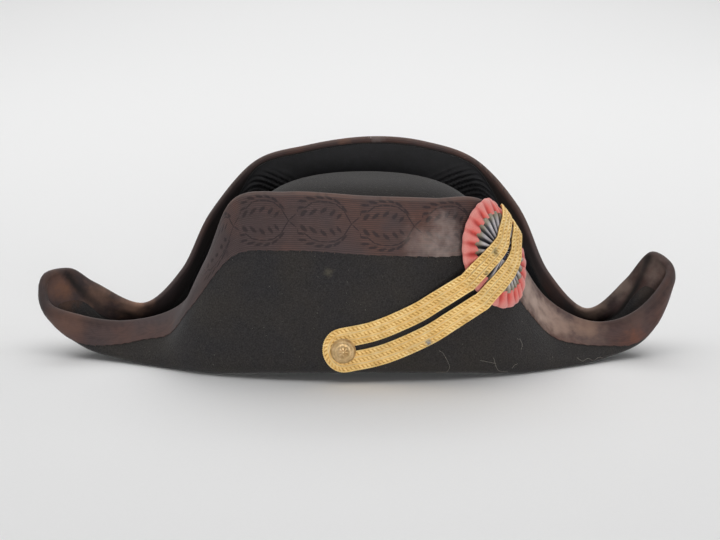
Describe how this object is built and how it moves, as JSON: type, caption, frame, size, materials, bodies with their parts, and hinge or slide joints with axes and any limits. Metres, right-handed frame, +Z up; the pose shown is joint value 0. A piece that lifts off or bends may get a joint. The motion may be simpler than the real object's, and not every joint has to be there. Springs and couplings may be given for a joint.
{
  "type": "felt bicorne hat",
  "caption": "Black felt bicorne with a cocked front and back flap, curled tips, a ribbon-bound edge, a pleated cockade and a plaited gold loop held by a domed button.",
  "frame": {"origin": "middle of the hat's length and width, on the surface that it rests on", "axes": "+X from the left tip to the right tip as seen from the front, +Y from the front flap to the back flap, +Z up"},
  "size_m": [0.4482, 0.2091, 0.1395],
  "materials": {
    "black_felt": "matte fur felt, faded to charcoal, with lint",
    "edge_ribbon": "ribbed silk ribbon with woven laurel sprigs, faded from black to brown",
    "lining_cloth": "dull black silk cloth",
    "red_ribbon": "pleated coral-red silk ribbon",
    "silver_ribbon": "pleated ribbon of tarnished silver thread",
    "blue_ribbon": "pleated dark blue silk ribbon",
    "gold_cord": "plaited gilt metal thread, a little tarnished",
    "gilt_brass": "worn gilt brass, stamped"
  },
  "bodies": {
    "root": {"felt_body": "black_felt", "edge_ribbon": "edge_ribbon", "back_flap_lining": "lining_cloth", "cockade_red_pleats": "red_ribbon", "cockade_silver_pleats": "silver_ribbon", "cockade_blue_centre": "blue_ribbon", "loop_cord_inner": "gold_cord", "loop_cord_middle": "gold_cord", "loop_cord_outer": "gold_cord", "button": "gilt_brass"}
  },
  "joints": []
}
